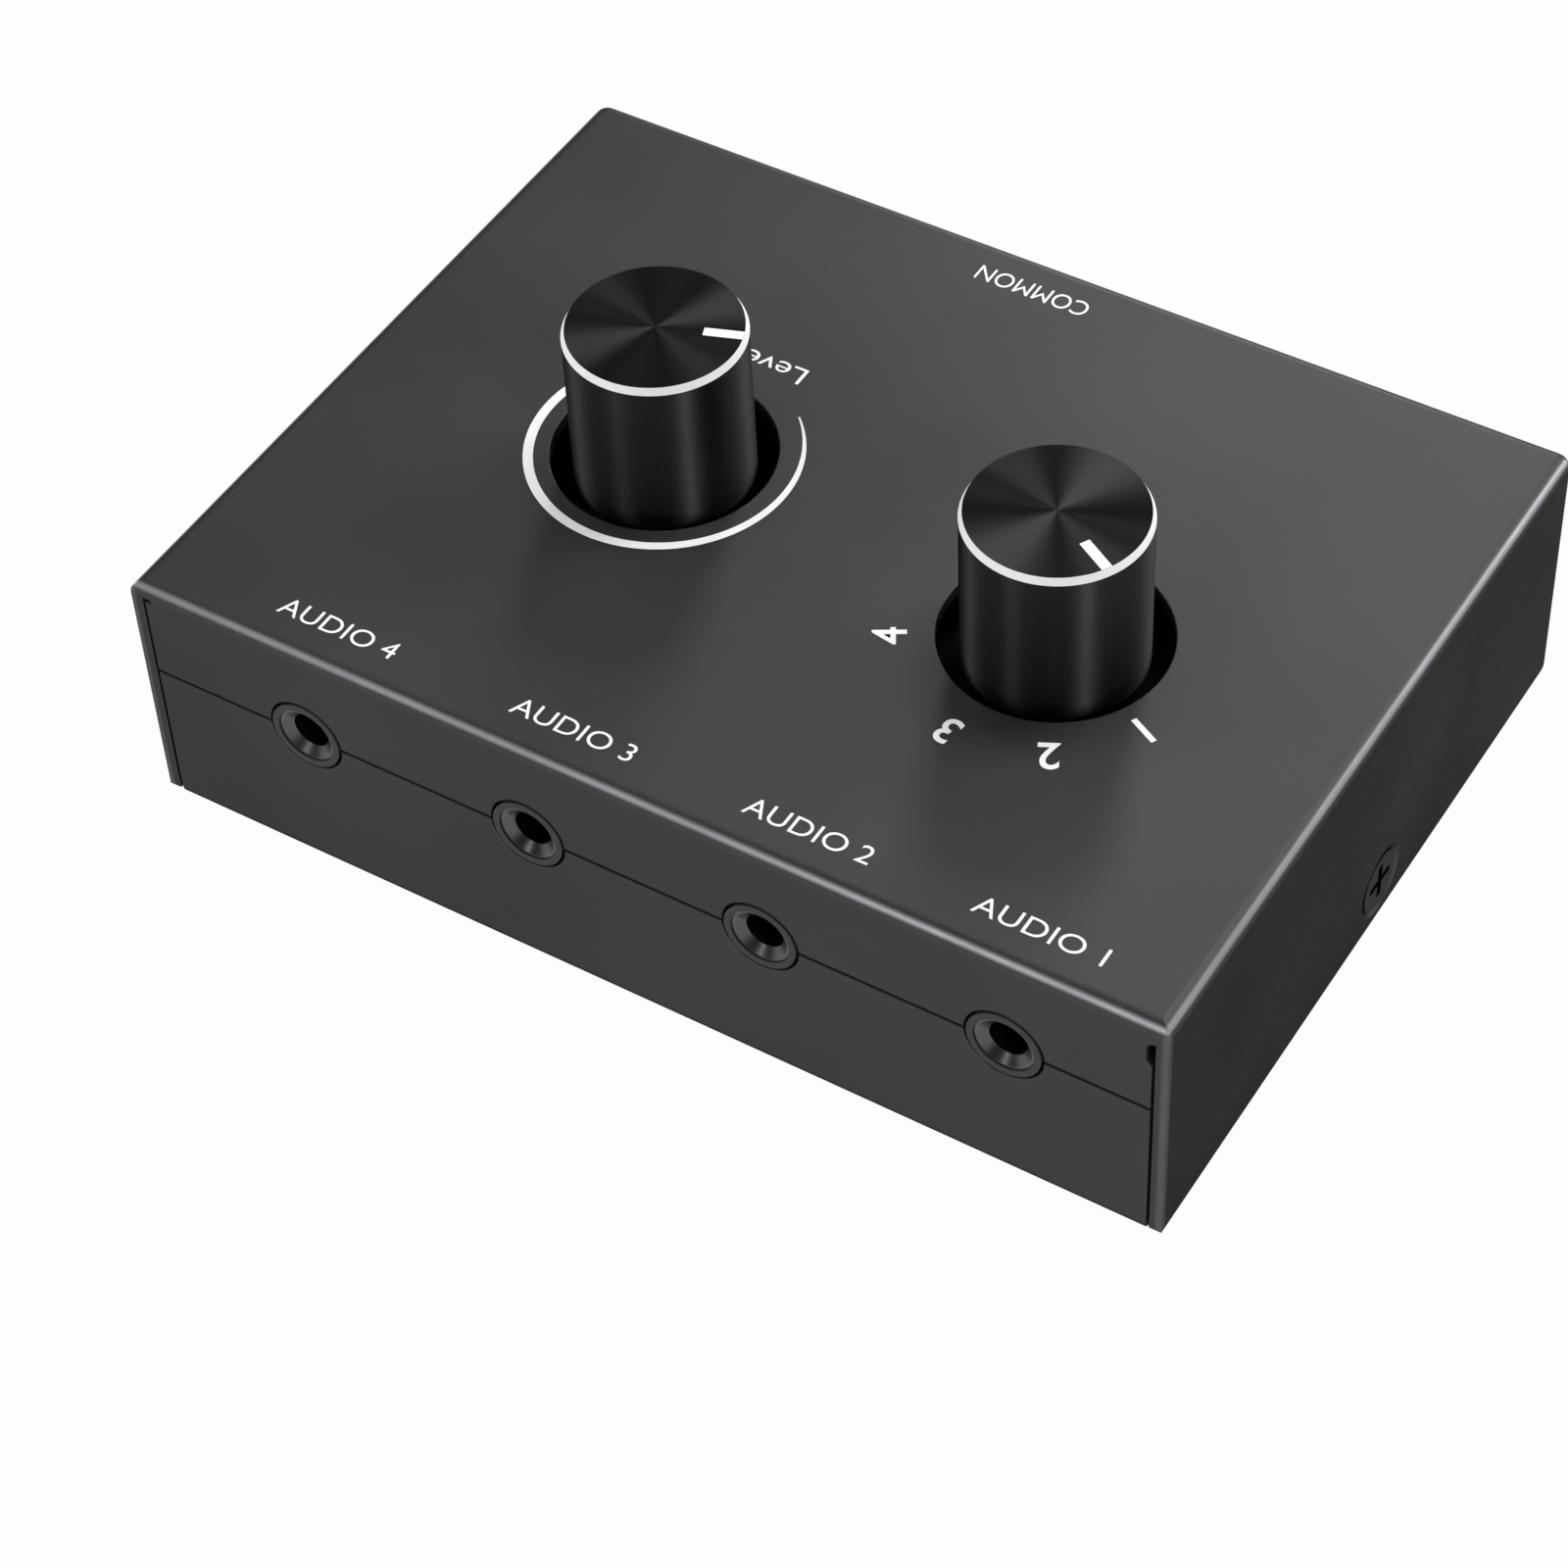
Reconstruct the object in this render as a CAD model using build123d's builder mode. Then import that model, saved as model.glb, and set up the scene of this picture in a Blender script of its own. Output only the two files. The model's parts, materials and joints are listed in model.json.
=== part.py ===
from build123d import *
import os

# Audio switch box: four line jacks in front and a main jack behind, a volume
# control and a four-way selector, in a folded sheet-metal case.
# Lengths are in millimetres and angles in degrees. The origin is on the desk
# under the middle of the case, with the front at -Y, the right at +X and up at +Z.

# Case
case_width = 102.0
case_depth = 75.5
case_height = 26.8
sheet = 1.2
bend_radius = 1.3
rear_corner_radius = 1.4
cover_lift = 0.85
edge_break = 0.15
seam = 0.35
side_seam = 0.25
lower_corner_radius = 2.0
foot_height = 1.5
foot_radius = 4.0
foot_edge = 0.4
foot_inset_x = 9.0
foot_inset_y = 9.0

# Bend reliefs at the upper ends of the cover's flanges
right_relief_width = 0.8
right_relief_height = 2.8
right_relief_drop = 3.7
left_relief_width = 0.9
left_relief_height = 0.4
left_relief_drop = 1.7

# Side screws that hold the cover to the tray
side_screw_y = 2.3
side_screw_height = 5.1
side_screw_dimple_radius = 3.6
side_screw_head_radius = 2.9
side_screw_head_sink = 0.1
side_screw_radius = 1.45
side_screw_length = 5.0
side_screw_boss_radius = 2.7
side_screw_boss_length = 1.8
side_flange_height = 9.0
side_flange_length = 60.0
thread_slip = 0.05
recess_width = 0.8
recess_length = 3.8
recess_depth = 0.7

# Line and main jacks
line_count = 4
jack_row_x = 1.3
jack_pitch_share = 0.2275
jack_height_share = 0.6082
nose_radius = 3.5
nose_length = 3.5
nose_gap = 0.25
housing_width = 10.0
housing_height = 7.5
housing_depth = 12.0
housing_wall = 1.1
chamber_start = 5.0
sleeve_radius = 2.8
sleeve_slip = 0.05
sleeve_inset = 0.15
sleeve_reach_share = 0.2
plug_bore_radius = 1.8
mouth_radius = 2.6
mouth_depth = 0.7
spring_thickness = 0.25
spring_width = 1.2
spring_plug_gap = 0.05
spring_wall_gap = 0.35
spring_end_gap = 0.5
spring_reach_share = 0.2
spring_stagger_share = 0.3
spring_root_share = 0.1
leg_width = 0.9
leg_thickness = 0.3
leg_stand_out = 1.0

# Circuit board
board_thickness = 1.6
board_side_gap = 2.3
board_edge_gap = 1.3
pin_radius = 0.4
pin_hole_radius = 0.55
standoff_radius = 3.0
standoff_shank_radius = 2.0
standoff_board_inset = 5.0
standoff_front_clearance = 5.25
standoff_rear_clearance = 2.25
board_screw_radius = 1.45
board_screw_head_radius = 2.7
board_screw_head_height = 1.9
board_screw_reach = 4.5
board_screw_hole_radius = 1.6

# Knobs
knob_radius = 8.2
knob_stand = 14.6
knob_sink = 1.9
knob_hole_radius = 10.2
knob_crown = 3.0
knob_core_radius = 6.45
knob_core_slip = 0.05
knob_core_recess = 0.5
rim_drop = 0.65
rim_inset = 0.33
pointer_width = 1.0
pointer_start = 4.3
pointer_depth = 0.3
pointer_end_gap = 0.02

# Shafts, shared by the volume control and the selector
shaft_radius = 3.0
running_gap = 0.05
bushing_gap = 1.0
shaft_flat_depth = 1.5
shaft_flat_length = 11.0
shaft_end_gap = 1.0
spigot_radius = 1.9
spigot_slip = 0.05

# Volume control
volume_x_share = -0.1882
volume_y_share = -0.0132
volume_pointer_angle = 20.0
volume_travel = 280.0
volume_quiet_angle = 50.0
pot_width = 9.8
pot_depth = 10.8
pot_height = 6.5
pot_wall = 0.7
pot_bushing_radius = 3.5
element_thickness = 1.0
element_slip = 0.1
pot_pin_pitch = 2.5
pot_pin_row_gap = 2.5
pot_pin_row_y = 3.2
pot_pin_stand_out = 1.2
wiper_gap = 0.3
wiper_thickness = 0.3
wiper_inner_radius = 2.3
wiper_outer_radius = 3.3
wiper_span = 70.0
carrier_radius = 3.85
carrier_height = 2.0
stop_inner_radius = 3.35
stop_drop_gap = 0.3
lug_span = 30.0
lug_height = 1.2
lug_side_gap = 3.0

# Selector
selector_x_share = 0.2167
selector_y_share = -0.053
selector_pointer_angle = -30.0
selector_travel = 122.0
selector_places = 4
switch_radius = 11.5
switch_wall = 0.9
switch_height = 8.5
switch_roof = 1.2
switch_bushing_radius = 4.5
stator_thickness = 1.2
stator_slip = 0.1
throw_radius = 8.4
common_radius = 5.0
pole_count = 2
contact_radius = 0.7
contact_height = 0.4
bridge_gap = 0.3
bridge_thickness = 0.3
bridge_width = 2.6
rotor_radius = 8.2
rotor_stand_off = 0.3
detent_height = 2.6
detent_crest_radius = 8.55
detent_notch_radius = 1.35
detent_slip = 0.05
ball_radius = 1.0
ball_crest_gap = 0.1
pocket_slip = 0.05
spring_pocket_length = 3.2
detent_spring_radius = 0.8
detent_spring_wall = 0.25
detent_spring_gap = 0.05
stop_lug_radius = 9.5
stop_lug_span = 20.0
stop_rib_inner_radius = 9.1
stop_rib_span = 12.0
stop_side_gap = 1.5
stop_lug_height = 1.6
stop_lug_overlap = 0.3

# One overrun for every cut that passes clean through
overrun = 1.0

# Levels, worked out from the sizes above
case_bottom = foot_height
case_top = case_bottom + case_height
cover_bottom = case_bottom + cover_lift
floor_top = case_bottom + sheet
ceiling = case_top - sheet
volume_spot = (case_width * volume_x_share, case_depth * volume_y_share)
selector_spot = (case_width * selector_x_share, case_depth * selector_y_share)
jack_z = case_bottom + case_height * jack_height_share
jack_pitch = case_width * jack_pitch_share
board_top = jack_z - housing_height / 2
board_bottom = board_top - board_thickness
knob_bottom = case_top - knob_sink
knob_top = case_top + knob_stand
shaft_top = knob_top - knob_crown - shaft_end_gap
wall_face = case_width / 2 - sheet
tray_width = 2 * (wall_face - side_seam)
board_width = tray_width - 2 * (sheet + board_side_gap)
inner_bend = bend_radius - sheet
side_screw_z = case_bottom + side_screw_height

# Two standoffs stand behind the line jacks, and two beside the main jack
jack_back = case_depth / 2 - nose_length - housing_depth
standoff_x = board_width / 2 - standoff_board_inset
standoff_rows = (standoff_front_clearance - jack_back, jack_back - standoff_rear_clearance)
standoff_spots = [(side * standoff_x, y) for side in (-1, 1) for y in standoff_rows]

# Each jack is built inwards from its own plane on the outside of the case
jack_planes = {}
for number in range(line_count):
    jack_x = jack_row_x + ((line_count - 1) / 2 - number) * jack_pitch
    jack_planes[f"line_{number + 1}_jack"] = Plane(
        (jack_x, -case_depth / 2, jack_z), x_dir=(1, 0, 0), z_dir=(0, -1, 0)
    )
jack_planes["main_jack"] = Plane(
    (jack_row_x, case_depth / 2, jack_z), x_dir=(-1, 0, 0), z_dir=(0, 1, 0)
)

os.makedirs("parts", exist_ok=True)


def keep(piece, name):
    """Label a finished piece and write its file."""
    piece.part.label = name
    export_step(piece.part, f"parts/{name}.step")


def spot_plane(spot, height):
    """A level plane whose origin is on a control's axis."""
    return Plane((spot[0], spot[1], height))


def ring_sector(inner, outer, middle_angle, span):
    """A face between two radii, centred on an angle of the open sketch."""
    with BuildLine() as outline:
        outside = CenterArc((0, 0), outer, middle_angle - span / 2, span)
        inside = CenterArc((0, 0), inner, middle_angle - span / 2, span)
        Line(outside @ 0, inside @ 0)
        Line(outside @ 1, inside @ 1)
    make_face(outline.edges())


# Top cover: top, full-height sides, and short front and rear flanges
with BuildPart() as top_cover:
    with BuildSketch(Plane.XY.offset(cover_bottom)):
        outline = Rectangle(case_width, case_depth)
        fillet(outline.vertices().group_by(Axis.Y)[-1], radius=rear_corner_radius)
    extrude(amount=case_top - cover_bottom)
    fillet(top_cover.faces().sort_by(Axis.Z)[-1].edges(), radius=bend_radius)
    with BuildSketch(Plane.XY.offset(cover_bottom)):
        Rectangle(case_width - 2 * sheet, case_depth - 2 * sheet)
    extrude(amount=ceiling - cover_bottom, mode=Mode.SUBTRACT)
    roof = top_cover.faces().filter_by(Plane.XY).group_by(Axis.Z)[-2]
    fillet(roof.edges(), radius=inner_bend)
    # The front and rear stay open below the seam, where the tray's panels stand
    flange_edge = jack_z + seam / 2
    with BuildSketch(Plane.XZ):
        with Locations((0, (case_bottom + flange_edge) / 2)):
            Rectangle(2 * wall_face, flange_edge - case_bottom)
        relief_z = case_top - right_relief_drop
        with Locations((wall_face - side_seam / 2, (flange_edge + relief_z) / 2)):
            Rectangle(side_seam, relief_z - flange_edge)
        tick_z = case_top - left_relief_drop
        with Locations((-wall_face + side_seam / 2, (flange_edge + tick_z) / 2)):
            Rectangle(side_seam, tick_z - flange_edge)
        with Locations((-wall_face + left_relief_width / 2, tick_z)):
            Rectangle(left_relief_width, left_relief_height)
    extrude(amount=case_depth, both=True, mode=Mode.SUBTRACT)
    with BuildSketch(Plane.XZ):
        with Locations((wall_face, relief_z)):
            SlotOverall(right_relief_height, 2 * right_relief_width, rotation=90)
        with Locations((wall_face + right_relief_width, relief_z)):
            Rectangle(2 * right_relief_width, right_relief_height, mode=Mode.SUBTRACT)
    extrude(amount=case_depth, both=True, mode=Mode.SUBTRACT)
    for face in jack_planes.values():
        with BuildSketch(face):
            Circle(nose_radius + nose_gap)
        extrude(amount=-2 * sheet, mode=Mode.SUBTRACT)
    with BuildSketch(Plane.XY.offset(ceiling - overrun)):
        with Locations(volume_spot, selector_spot):
            Circle(knob_hole_radius)
    extrude(amount=sheet + 2 * overrun, mode=Mode.SUBTRACT)
    for side in (-1, 1):
        wall = Plane((side * case_width / 2, side_screw_y, side_screw_z), z_dir=(side, 0, 0))
        with BuildSketch(wall):
            Circle(side_screw_dimple_radius)
        extrude(amount=-sheet, taper=45, mode=Mode.SUBTRACT)
    # The sides' lower rear corners are rounded off
    with BuildSketch(Plane.YZ):
        corner_y = case_depth / 2 - lower_corner_radius
        with Locations((corner_y, cover_bottom)):
            Rectangle(lower_corner_radius, lower_corner_radius, align=Align.MIN)
        with Locations((corner_y, cover_bottom + lower_corner_radius)):
            Circle(lower_corner_radius, mode=Mode.SUBTRACT)
    extrude(amount=case_width, both=True, mode=Mode.SUBTRACT)
    # The sheet's exposed edges are slightly broken, also around the knobs and jacks
    skins = top_cover.faces().filter_by(Axis.Y).group_by(Axis.Y)
    below_bend = case_top - bend_radius - edge_break
    rims = [edge for edge in skins[0].edges() if edge.center().Z < below_bend]
    # Behind, only the edges along the seam are, because the corners are round
    rims += [
        edge
        for edge in skins[-1].edges()
        if edge.center().Z < below_bend and abs(edge.center().X) < case_width / 3
    ]
    fillet(rims, radius=edge_break)
    knob_rims = top_cover.edges().filter_by(GeomType.CIRCLE).group_by(Axis.Z)[-1]
    fillet(knob_rims, radius=edge_break)
keep(top_cover, "top_cover")

# Bottom tray: floor, front and rear panels up to the seam, and low side flanges
with BuildPart() as bottom_tray:
    panel_height = jack_z - seam / 2 - case_bottom
    with BuildSketch(Plane.XY.offset(case_bottom)):
        Rectangle(tray_width, case_depth)
    extrude(amount=panel_height)
    fillet(bottom_tray.faces().sort_by(Axis.Z)[0].edges().filter_by(Axis.X), radius=bend_radius)
    with BuildSketch(Plane.XY.offset(floor_top)):
        Rectangle(tray_width - 2 * sheet, case_depth - 2 * sheet)
    extrude(amount=panel_height, mode=Mode.SUBTRACT)
    floor = bottom_tray.faces().filter_by(Plane.XY).sort_by(Axis.Z)[1]
    fillet(floor.edges(), radius=inner_bend)
    # The sides are low flanges, shorter than the case is deep
    side_opening = case_depth - 2 * sheet
    with BuildSketch(Plane.YZ):
        with Locations((0, case_bottom + (side_flange_height + panel_height + overrun) / 2)):
            Rectangle(side_opening, panel_height + overrun - side_flange_height)
        corner_gap = (side_opening - side_flange_length) / 2
        for end in (-1, 1):
            with Locations((end * (side_opening - corner_gap) / 2, floor_top + panel_height / 2)):
                Rectangle(corner_gap, panel_height - 2 * inner_bend)
    extrude(amount=case_width, both=True, mode=Mode.SUBTRACT)
    for side in (-1, 1):
        inside = tray_width / 2 - sheet
        boss = Plane((side * inside, side_screw_y, side_screw_z), z_dir=(-side, 0, 0))
        with BuildSketch(boss):
            Circle(side_screw_boss_radius)
        extrude(amount=side_screw_boss_length)
        with BuildSketch(boss.offset(-sheet - overrun)):
            Circle(side_screw_radius + thread_slip)
        extrude(amount=sheet + side_screw_boss_length + 2 * overrun, mode=Mode.SUBTRACT)
    for face in jack_planes.values():
        with BuildSketch(face):
            Circle(nose_radius + nose_gap)
        extrude(amount=-2 * sheet, mode=Mode.SUBTRACT)
    with BuildSketch(Plane.XY.offset(case_bottom - overrun)):
        with Locations(*standoff_spots):
            Circle(standoff_shank_radius + thread_slip)
    extrude(amount=sheet + 2 * overrun, mode=Mode.SUBTRACT)
    skins = bottom_tray.faces().filter_by(Axis.Y).group_by(Axis.Y)
    above_bend = case_bottom + bend_radius + edge_break
    rims = [
        edge
        for edge in skins[0].edges() + skins[-1].edges()
        if edge.center().Z > above_bend
    ]
    fillet(rims, radius=edge_break)
keep(bottom_tray, "bottom_tray")

# Countersunk screws through the cover's sides into the tray's bosses
with BuildPart() as side_screws:
    for side in (-1, 1):
        head_top = Plane(
            (side * (case_width / 2 - side_screw_head_sink), side_screw_y, side_screw_z),
            z_dir=(side, 0, 0),
        )
        head_height = side_screw_head_radius - side_screw_radius
        with BuildSketch(head_top):
            Circle(side_screw_head_radius)
        extrude(amount=-head_height, taper=45)
        with BuildSketch(head_top):
            Circle(side_screw_radius)
        extrude(amount=-head_height - side_screw_length)
        with BuildSketch(head_top):
            Rectangle(recess_length, recess_width)
            Rectangle(recess_width, recess_length)
        extrude(amount=-recess_depth, mode=Mode.SUBTRACT)
keep(side_screws, "side_screws")

# Four stick-on rubber feet
with BuildPart() as rubber_feet:
    with BuildSketch(Plane.XY):
        foot_span_x = case_width - 2 * foot_inset_x
        foot_span_y = case_depth - 2 * foot_inset_y
        with GridLocations(foot_span_x, foot_span_y, 2, 2):
            Circle(foot_radius)
    extrude(amount=foot_height)
    chamfer(rubber_feet.edges().group_by(Axis.Z)[0], length=foot_edge)
keep(rubber_feet, "rubber_feet")


def jack_plan(face):
    """The level plane through a jack's axis, with its Y running into the case."""
    return Plane(face.origin, x_dir=face.x_dir, z_dir=(0, 0, 1))


# Places of the jacks' parts, as distances in from the outside of the case
housing_back = nose_length + housing_depth
chamber_end = housing_back - housing_wall
chamber_half = housing_width / 2 - housing_wall
spring_line = chamber_half - spring_wall_gap
spring_touch = plug_bore_radius + spring_plug_gap + spring_thickness / 2
tip_root = chamber_end - spring_end_gap
ring_root = tip_root - housing_depth * spring_stagger_share
spring_root = housing_depth * spring_root_share
spring_reach = housing_depth * spring_reach_share
sleeve_end = nose_length + housing_depth * sleeve_reach_share
sleeve_leg = sleeve_end - leg_thickness / 2


def jack_leg_spots(face):
    """Where one jack's three legs pass through the board."""
    plan = jack_plan(face)
    places = ((0, sleeve_leg), (spring_line, tip_root), (-spring_line, ring_root))
    return [plan.from_local_coords((x, y, 0)) for x, y in places]


def build_jack(name, face):
    """One jack: its moulded housing, its sleeve, and its tip and ring springs."""
    with BuildPart() as housing:
        with BuildSketch(face.offset(-nose_length)):
            Rectangle(housing_width, housing_height)
        extrude(amount=-housing_depth)
        with BuildSketch(face):
            Circle(nose_radius)
        extrude(amount=-nose_length - overrun)
        with BuildSketch(face.offset(-chamber_start)):
            with Locations((0, -housing_wall / 2)):
                Rectangle(2 * chamber_half, housing_height - housing_wall)
        extrude(amount=chamber_start - chamber_end, mode=Mode.SUBTRACT)
        with BuildSketch(face):
            Circle(sleeve_radius + sleeve_slip)
        extrude(amount=-chamber_start - overrun, mode=Mode.SUBTRACT)
    keep(housing, f"{name}_housing")

    leg_bottom = board_bottom - leg_stand_out
    plan = jack_plan(face)
    with BuildPart() as sleeve:
        with BuildSketch(face.offset(-sleeve_inset)):
            Circle(sleeve_radius)
        extrude(amount=sleeve_inset - sleeve_end)
        leg_top = (sleeve_radius + plug_bore_radius) / 2
        with BuildSketch(plan.offset(-leg_top)):
            with Locations((0, sleeve_leg)):
                Rectangle(leg_width, leg_thickness)
        extrude(amount=leg_bottom - jack_z + leg_top)
        with BuildSketch(face):
            Circle(plug_bore_radius)
        extrude(amount=-sleeve_end - overrun, mode=Mode.SUBTRACT)
        with BuildSketch(face.offset(-sleeve_inset)):
            Circle(mouth_radius)
        with BuildSketch(face.offset(-sleeve_inset - mouth_depth)):
            Circle(plug_bore_radius)
        loft(mode=Mode.SUBTRACT)
    keep(sleeve, f"{name}_sleeve")

    with BuildPart() as springs:
        for side, root in ((1, tip_root), (-1, ring_root)):
            bend = root - spring_root
            with BuildSketch(plan.offset(-spring_width / 2)):
                with BuildLine():
                    Polyline(
                        (side * spring_line, root + leg_width / 2),
                        (side * spring_line, bend),
                        (side * spring_touch, bend - spring_reach / 2),
                        (side * spring_touch, bend - spring_reach / 2 - spring_thickness),
                        (side * spring_line, bend - spring_reach),
                    )
                trace(line_width=spring_thickness)
            extrude(amount=spring_width)
            with BuildSketch(plan):
                with Locations((side * spring_line, root)):
                    Rectangle(spring_thickness, leg_width)
            extrude(amount=leg_bottom - jack_z)
    keep(springs, f"{name}_springs")


for jack_name, jack_face in jack_planes.items():
    build_jack(jack_name, jack_face)

# Volume control: sheet can, bushing, track board, pins, shaft, carrier, wiper
pot_roof = board_top + pot_height - pot_wall
element_top = board_top + element_thickness
wiper_top = element_top + wiper_gap + wiper_thickness
carrier_top = wiper_top + carrier_height
# The lug stands opposite the pointer. The post it stops against lies opposite the
# middle of the lug's travel, so at the middle of the pointer's
volume_lug_angle = volume_pointer_angle + 180
post_angle = volume_quiet_angle - volume_travel / 2
post_span = 360 - volume_travel - lug_span - 2 * lug_side_gap

with BuildPart() as volume_can:
    with BuildSketch(spot_plane(volume_spot, board_top)):
        Rectangle(pot_width, pot_depth)
    extrude(amount=pot_height)
    with BuildSketch(spot_plane(volume_spot, board_top)):
        Rectangle(pot_width - 2 * pot_wall, pot_depth - 2 * pot_wall)
    extrude(amount=pot_height - pot_wall, mode=Mode.SUBTRACT)
    with BuildSketch(spot_plane(volume_spot, pot_roof)):
        ring_sector(stop_inner_radius, carrier_radius, post_angle, post_span)
    extrude(amount=carrier_top + stop_drop_gap - pot_roof)
    with BuildSketch(spot_plane(volume_spot, pot_roof - overrun)):
        Circle(shaft_radius + running_gap)
    extrude(amount=pot_wall + 2 * overrun, mode=Mode.SUBTRACT)
keep(volume_can, "volume_can")

with BuildPart() as volume_bushing:
    with BuildSketch(spot_plane(volume_spot, board_top + pot_height)):
        Circle(pot_bushing_radius)
        Circle(shaft_radius + running_gap, mode=Mode.SUBTRACT)
    extrude(amount=knob_bottom - bushing_gap - board_top - pot_height)
keep(volume_bushing, "volume_bushing")

with BuildPart() as volume_track_board:
    with BuildSketch(spot_plane(volume_spot, board_top)):
        inset = 2 * (pot_wall + element_slip)
        Rectangle(pot_width - inset, pot_depth - inset)
    extrude(amount=element_thickness)
keep(volume_track_board, "volume_track_board")

pot_pin_spots = [
    (volume_spot[0] + column * pot_pin_pitch, volume_spot[1] - pot_pin_row_y + row * pot_pin_row_gap)
    for column in (-1, 0, 1)
    for row in (0, 1)
]
with BuildPart() as volume_pins:
    with BuildSketch(Plane.XY.offset(board_top)):
        with Locations(*pot_pin_spots):
            Circle(pin_radius)
    extrude(amount=-board_thickness - pot_pin_stand_out)
keep(volume_pins, "volume_pins")

with BuildPart() as volume_wiper:
    with BuildSketch(spot_plane(volume_spot, element_top + wiper_gap)):
        for arm_angle in (volume_pointer_angle, volume_pointer_angle + 180):
            ring_sector(spigot_radius + spigot_slip, wiper_outer_radius, arm_angle, wiper_span)
        Circle(wiper_inner_radius)
        Circle(spigot_radius + spigot_slip, mode=Mode.SUBTRACT)
    extrude(amount=wiper_thickness)
keep(volume_wiper, "volume_wiper")

with BuildPart() as volume_carrier:
    with BuildSketch(spot_plane(volume_spot, wiper_top)):
        Circle(carrier_radius)
        Circle(spigot_radius + spigot_slip, mode=Mode.SUBTRACT)
    extrude(amount=carrier_height)
    with BuildSketch(spot_plane(volume_spot, carrier_top)):
        ring_sector(stop_inner_radius, carrier_radius, volume_lug_angle, lug_span)
    extrude(amount=lug_height)
keep(volume_carrier, "volume_carrier")


def build_shaft(name, spot, pointer_angle, shoulder, spigot_end):
    """A control's shaft: a spigot below, a round journal, and a flat for the knob."""
    with BuildPart() as shaft:
        with BuildSketch(spot_plane(spot, shoulder)):
            Circle(shaft_radius)
        extrude(amount=shaft_top - shoulder)
        with BuildSketch(spot_plane(spot, shoulder)):
            Circle(spigot_radius)
        extrude(amount=spigot_end - shoulder)
        flat = spot_plane(spot, shaft_top).rotated((0, 0, pointer_angle))
        with BuildSketch(flat):
            with Locations((shaft_radius - shaft_flat_depth / 2, 0)):
                Rectangle(shaft_flat_depth, 2 * shaft_radius)
        extrude(amount=-shaft_flat_length, mode=Mode.SUBTRACT)
    keep(shaft, name)


def build_knob(name, spot, pointer_angle):
    """A turned knob shell, its moulded core, and the line let into its top."""
    top = spot_plane(spot, knob_top).rotated((0, 0, pointer_angle))
    bottom = spot_plane(spot, knob_bottom)
    line_length = knob_radius - rim_inset - pointer_start
    with BuildPart() as shell:
        with BuildSketch(bottom):
            Circle(knob_radius)
        extrude(amount=knob_top - knob_bottom)
        rim = shell.edges().sort_by(Axis.Z)[-1]
        cap = shell.faces().sort_by(Axis.Z)[-1]
        chamfer(rim, length=rim_inset, length2=rim_drop, reference=cap)
        with BuildSketch(bottom):
            Circle(knob_core_radius + knob_core_slip)
        extrude(amount=knob_top - knob_bottom - knob_crown, mode=Mode.SUBTRACT)
        with BuildSketch(top):
            with Locations((pointer_start + line_length / 2 + overrun / 2, 0)):
                Rectangle(line_length + overrun, pointer_width)
        extrude(amount=-pointer_depth, mode=Mode.SUBTRACT)
    keep(shell, f"{name}_knob")

    with BuildPart() as core:
        with BuildSketch(bottom.offset(knob_core_recess)):
            Circle(knob_core_radius)
        extrude(amount=knob_top - knob_crown - knob_bottom - knob_core_recess)
        with BuildSketch(bottom):
            Circle(shaft_radius + thread_slip)
        extrude(amount=shaft_top + shaft_end_gap / 2 - knob_bottom, mode=Mode.SUBTRACT)
        # The key fills the bore opposite the shaft's flat
        key_bottom = shaft_top - shaft_flat_length + thread_slip
        with BuildSketch(spot_plane(spot, key_bottom).rotated((0, 0, pointer_angle))):
            Circle(shaft_radius + 2 * thread_slip)
            with Locations((-shaft_flat_depth + thread_slip, 0)):
                Rectangle(2 * shaft_radius, 4 * shaft_radius, mode=Mode.SUBTRACT)
        extrude(amount=shaft_top + shaft_end_gap / 2 - key_bottom)
    keep(core, f"{name}_knob_core")

    with BuildPart() as line:
        with BuildSketch(top):
            with Locations((pointer_start + line_length / 2, 0)):
                Rectangle(line_length - 2 * pointer_end_gap, pointer_width - 2 * pointer_end_gap)
        extrude(amount=-pointer_depth)
    keep(line, f"{name}_pointer")


build_shaft("volume_shaft", volume_spot, volume_pointer_angle, carrier_top, element_top + wiper_gap)
build_knob("volume", volume_spot, volume_pointer_angle)

# Selector: moulded case, bushing, contact board, detent ring and the rotor inside
switch_top = board_top + switch_height
switch_ceiling = switch_top - switch_roof
stator_top = board_top + stator_thickness
contact_top = stator_top + contact_height
bridge_top = contact_top + bridge_gap + bridge_thickness
detent_bottom = switch_ceiling - detent_height
rotor_top = switch_ceiling - rotor_stand_off
switch_inner_radius = switch_radius - switch_wall
selector_step = selector_travel / (selector_places - 1)
ball_place = detent_crest_radius - ball_crest_gap - ball_radius
ball_z = (detent_bottom + rotor_top) / 2
ball_angles = (selector_pointer_angle, selector_pointer_angle + 180)
selector_lug_angle = selector_pointer_angle + 90
stop_offset = (stop_lug_span + stop_rib_span) / 2 + stop_side_gap
stop_angles = (selector_lug_angle + stop_offset, selector_lug_angle - selector_travel - stop_offset)

with BuildPart() as selector_case:
    with BuildSketch(spot_plane(selector_spot, board_top)):
        Circle(switch_radius)
    extrude(amount=switch_height)
    with BuildSketch(spot_plane(selector_spot, board_top)):
        Circle(switch_inner_radius)
    extrude(amount=switch_height - switch_roof, mode=Mode.SUBTRACT)
    with BuildSketch(spot_plane(selector_spot, switch_ceiling - overrun)):
        Circle(shaft_radius + running_gap)
    extrude(amount=switch_roof + 2 * overrun, mode=Mode.SUBTRACT)
    # Two ribs under the detent ring stop the rotor's lug at the end places
    with BuildSketch(spot_plane(selector_spot, detent_bottom)):
        for rib_angle in stop_angles:
            ring_sector(stop_rib_inner_radius, switch_radius, rib_angle, stop_rib_span)
    extrude(amount=-stop_lug_height)
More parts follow.
